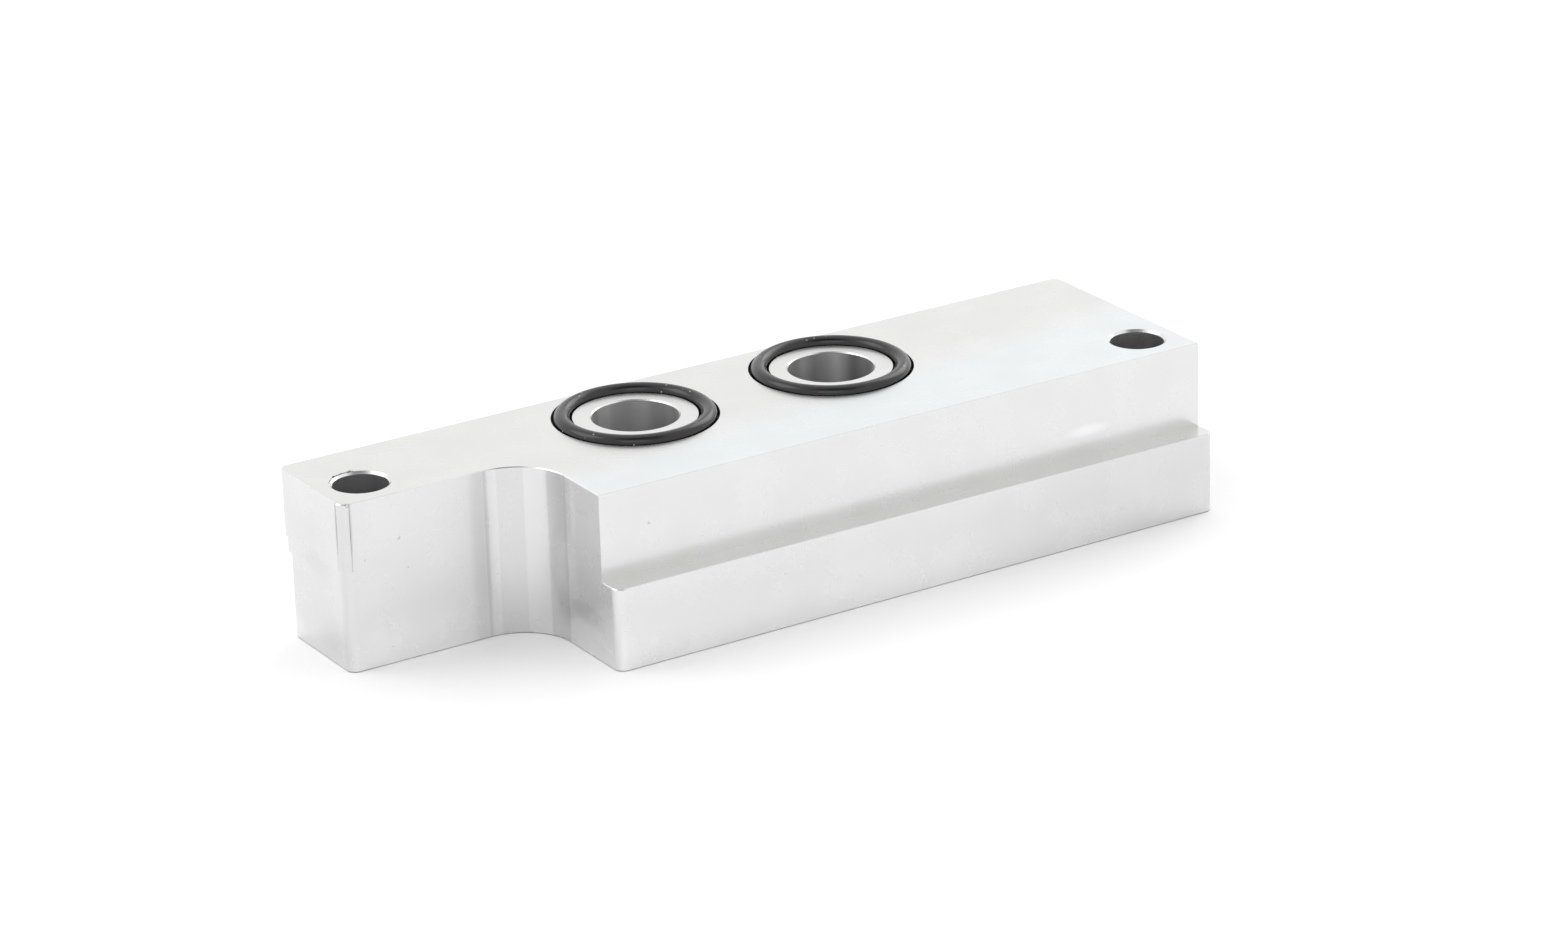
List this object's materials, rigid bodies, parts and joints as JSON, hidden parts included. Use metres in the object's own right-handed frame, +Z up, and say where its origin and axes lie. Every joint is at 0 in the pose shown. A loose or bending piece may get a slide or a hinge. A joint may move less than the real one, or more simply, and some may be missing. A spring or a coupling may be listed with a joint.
{
  "type": "ported adapter block",
  "caption": "Stepped aluminium block with a notched bolting tab, plain ports through it, O-ring face seals round their mouths and clearance holes for screws.",
  "frame": {"origin": "middle of the bounding rectangle of the bottom face, on the surface that the block stands on", "axes": "+X along the block from the bolting tab to the far end, +Y towards the back wall that the ports lie near, +Z up out of the sealing face"},
  "size_m": [0.1104, 0.0332, 0.0217],
  "materials": {
    "milled_aluminium": "fine milled, bare",
    "nitrile_rubber": "moulded, satin black"
  },
  "bodies": {
    "root": {"adapter_block": "milled_aluminium", "tab_side_o_ring": "nitrile_rubber", "far_side_o_ring": "nitrile_rubber"}
  },
  "joints": []
}
